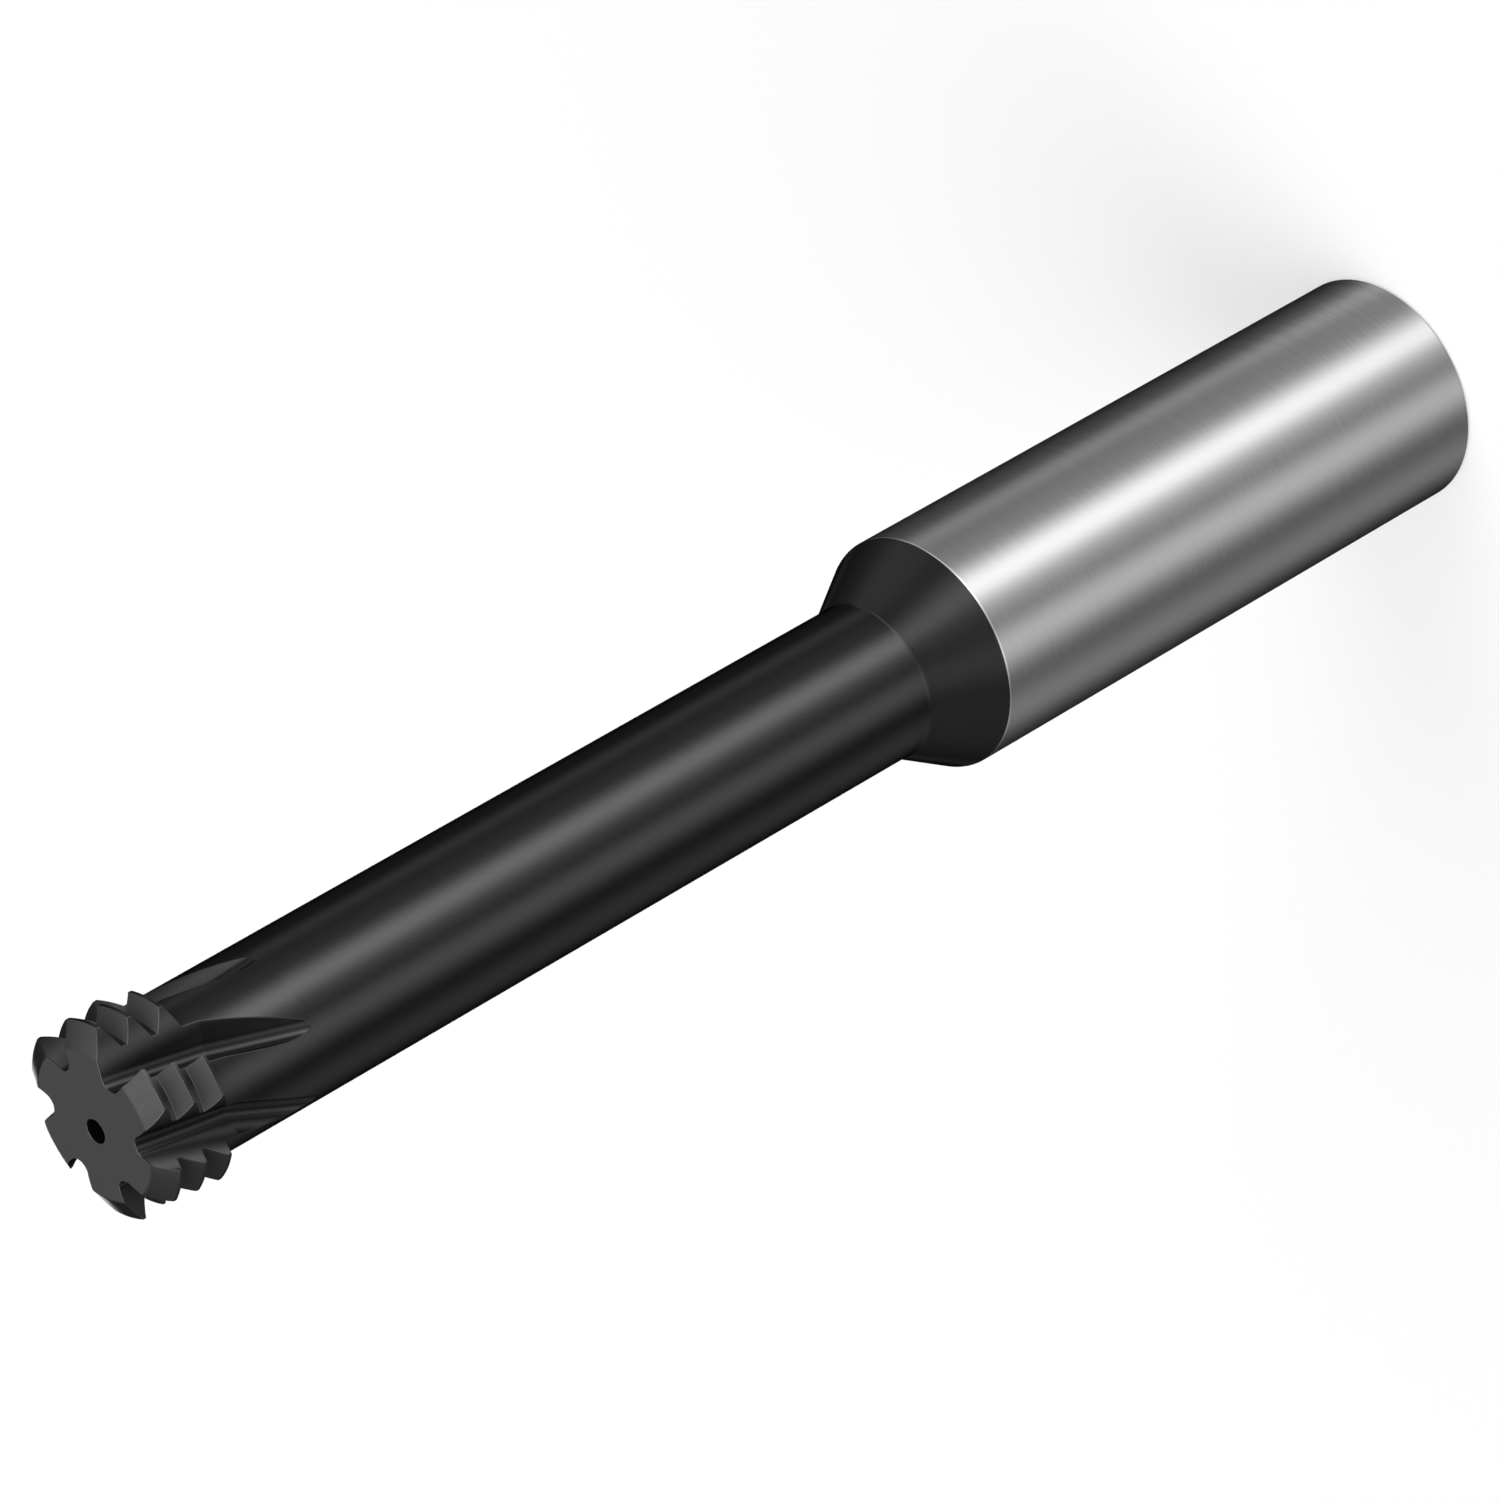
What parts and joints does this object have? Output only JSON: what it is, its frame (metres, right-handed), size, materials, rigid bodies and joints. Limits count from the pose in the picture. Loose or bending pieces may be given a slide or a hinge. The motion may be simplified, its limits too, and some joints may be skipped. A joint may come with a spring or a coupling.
{
  "type": "thread mill",
  "caption": "Solid carbide thread mill with a plain ground shank, a relieved neck and a short right-hand fluted head of annular thread-form teeth, with a coolant hole through it.",
  "frame": {"origin": "centre of the shank's flat end, on the tool's axis", "axes": "+Z along the tool's axis from the shank's end to the cutting head; -Y towards the camera of the picture; +X completes a right-handed frame"},
  "size_m": [0.01, 0.01, 0.072],
  "materials": {
    "carbide": "ground bright shank; dark satin coating from the cone forwards"
  },
  "bodies": {
    "root": {"thread_mill": "carbide"}
  },
  "joints": []
}
